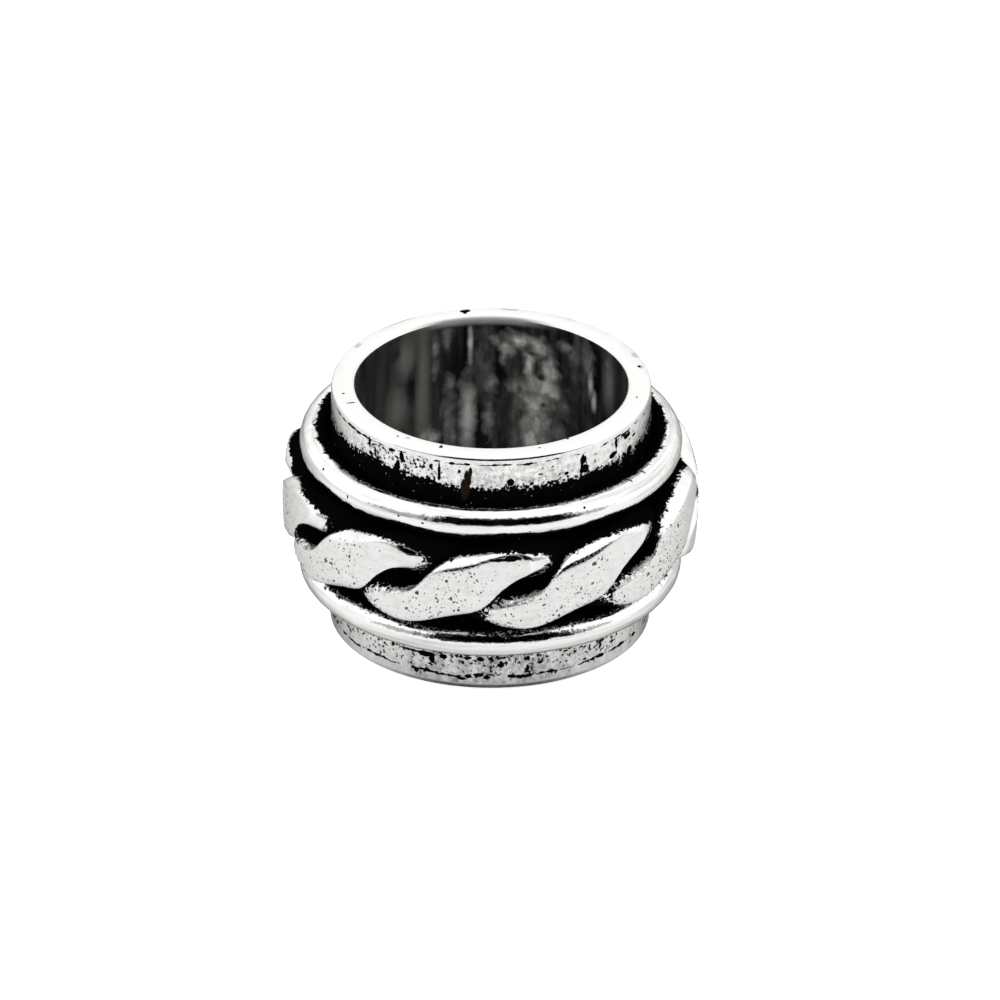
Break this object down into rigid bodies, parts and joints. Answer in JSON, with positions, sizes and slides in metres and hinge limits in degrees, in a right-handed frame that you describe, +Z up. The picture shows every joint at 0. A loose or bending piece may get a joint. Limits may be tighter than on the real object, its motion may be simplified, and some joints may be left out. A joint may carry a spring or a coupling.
{
  "type": "dreadlock bead",
  "caption": "Short metal sleeve for a lock of hair, with a round wire ring near each end and a twisted rope laid between the rings.",
  "frame": {"origin": "centre of the lower end, on the bore's axis", "axes": "+Z up along the bore, -Y towards the viewer in the picture, +X to the viewer's right"},
  "size_m": [0.0122, 0.0122, 0.0077],
  "materials": {
    "antique_silver": "silver-plated cast metal, blackened in the recesses and rubbed bright on the high parts"
  },
  "bodies": {
    "root": {"bead": "antique_silver"}
  },
  "joints": []
}
